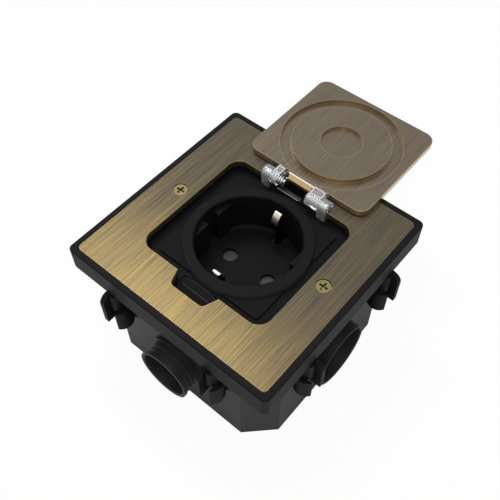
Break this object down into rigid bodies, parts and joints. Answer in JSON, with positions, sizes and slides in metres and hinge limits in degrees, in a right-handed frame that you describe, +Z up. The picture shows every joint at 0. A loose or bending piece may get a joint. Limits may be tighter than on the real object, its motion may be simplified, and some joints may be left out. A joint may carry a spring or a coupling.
{
  "type": "floor socket box",
  "caption": "Square in-floor socket box: top frame over a back box, brushed brass cover plate, round earthed power socket and a hinged brass lid shown open.",
  "frame": {"origin": "centre of the back box's underside", "axes": "+Z up out of the floor, +Y towards the lid hinge, -Y towards the finger pocket and the front conduit sleeve, +X towards the side sleeve"},
  "size_m": [0.1008, 0.1343, 0.0638],
  "materials": {
    "frame_plastic": "fine moulded satin, black",
    "box_plastic": "satin moulded, dark grey",
    "sleeve_plastic": "satin moulded, black",
    "tray_plastic": "matt moulded, black",
    "socket_plastic": "satin moulded, black",
    "lever_plastic": "matt moulded, black",
    "shutter_plastic": "moulded, grey",
    "base_plastic": "moulded, light grey",
    "clear_plastic": "clear moulded polycarbonate",
    "gasket_rubber": "matt",
    "plate_brass": "brushed along Y, lacquered",
    "contact_brass": "bright",
    "clip_metal": "nickel plated",
    "screw_steel": "nickel plated",
    "spring_steel": "bright drawn wire"
  },
  "bodies": {
    "housing": {"back_box": "box_plastic", "box_bosses": "box_plastic", "conduit_sleeve_front": "sleeve_plastic", "conduit_sleeve_side": "sleeve_plastic", "top_frame": "frame_plastic", "frame_posts": "frame_plastic", "frame_hooks": "frame_plastic", "plate_gasket": "gasket_rubber", "cover_plate": "plate_brass", "plate_screws": "screw_steel", "tray": "tray_plastic", "lever_pin": "screw_steel", "lever_spring": "spring_steel", "socket_cup": "socket_plastic", "socket_screws": "screw_steel", "earth_strap": "clip_metal", "contact_base": "base_plastic", "base_screws": "screw_steel", "phase_contact": "contact_brass", "neutral_contact": "contact_brass", "phase_terminal": "contact_brass", "neutral_terminal": "contact_brass", "earth_terminal": "contact_brass", "terminal_screws": "screw_steel", "hinge_bracket_left": "clear_plastic", "hinge_bracket_right": "clear_plastic", "hinge_pin_left": "screw_steel", "hinge_pin_right": "screw_steel", "hinge_spring": "spring_steel"},
    "lid": {"lid": "plate_brass", "lid_arm_left": "clear_plastic", "lid_arm_right": "clear_plastic"},
    "lever": {"lift_lever": "lever_plastic"},
    "shutter": {"shutter": "shutter_plastic"}
  },
  "joints": [
    {"name": "lid_hinge", "type": "hinge", "parent": "housing", "child": "lid", "pos_m": [0, 0.02866, 0.06025], "axis": [1, 0, 0], "range_deg": [0, 180]},
    {"name": "lever_rock", "type": "hinge", "parent": "housing", "child": "lever", "pos_m": [0, -0.0288, 0.0541], "axis": [1, 0, 0], "range_deg": [0, 12], "stiffness_Nm_per_rad": 0.004, "springref_deg": -2.86, "deforming": ["lever_spring"]},
    {"name": "shutter_turn", "type": "hinge", "parent": "housing", "child": "shutter", "pos_m": [0, 0, 0.0373], "axis": [0, 0, 1], "range_deg": [0, 48], "stiffness_Nm_per_rad": 0.002, "springref_deg": -11.46}
  ]
}
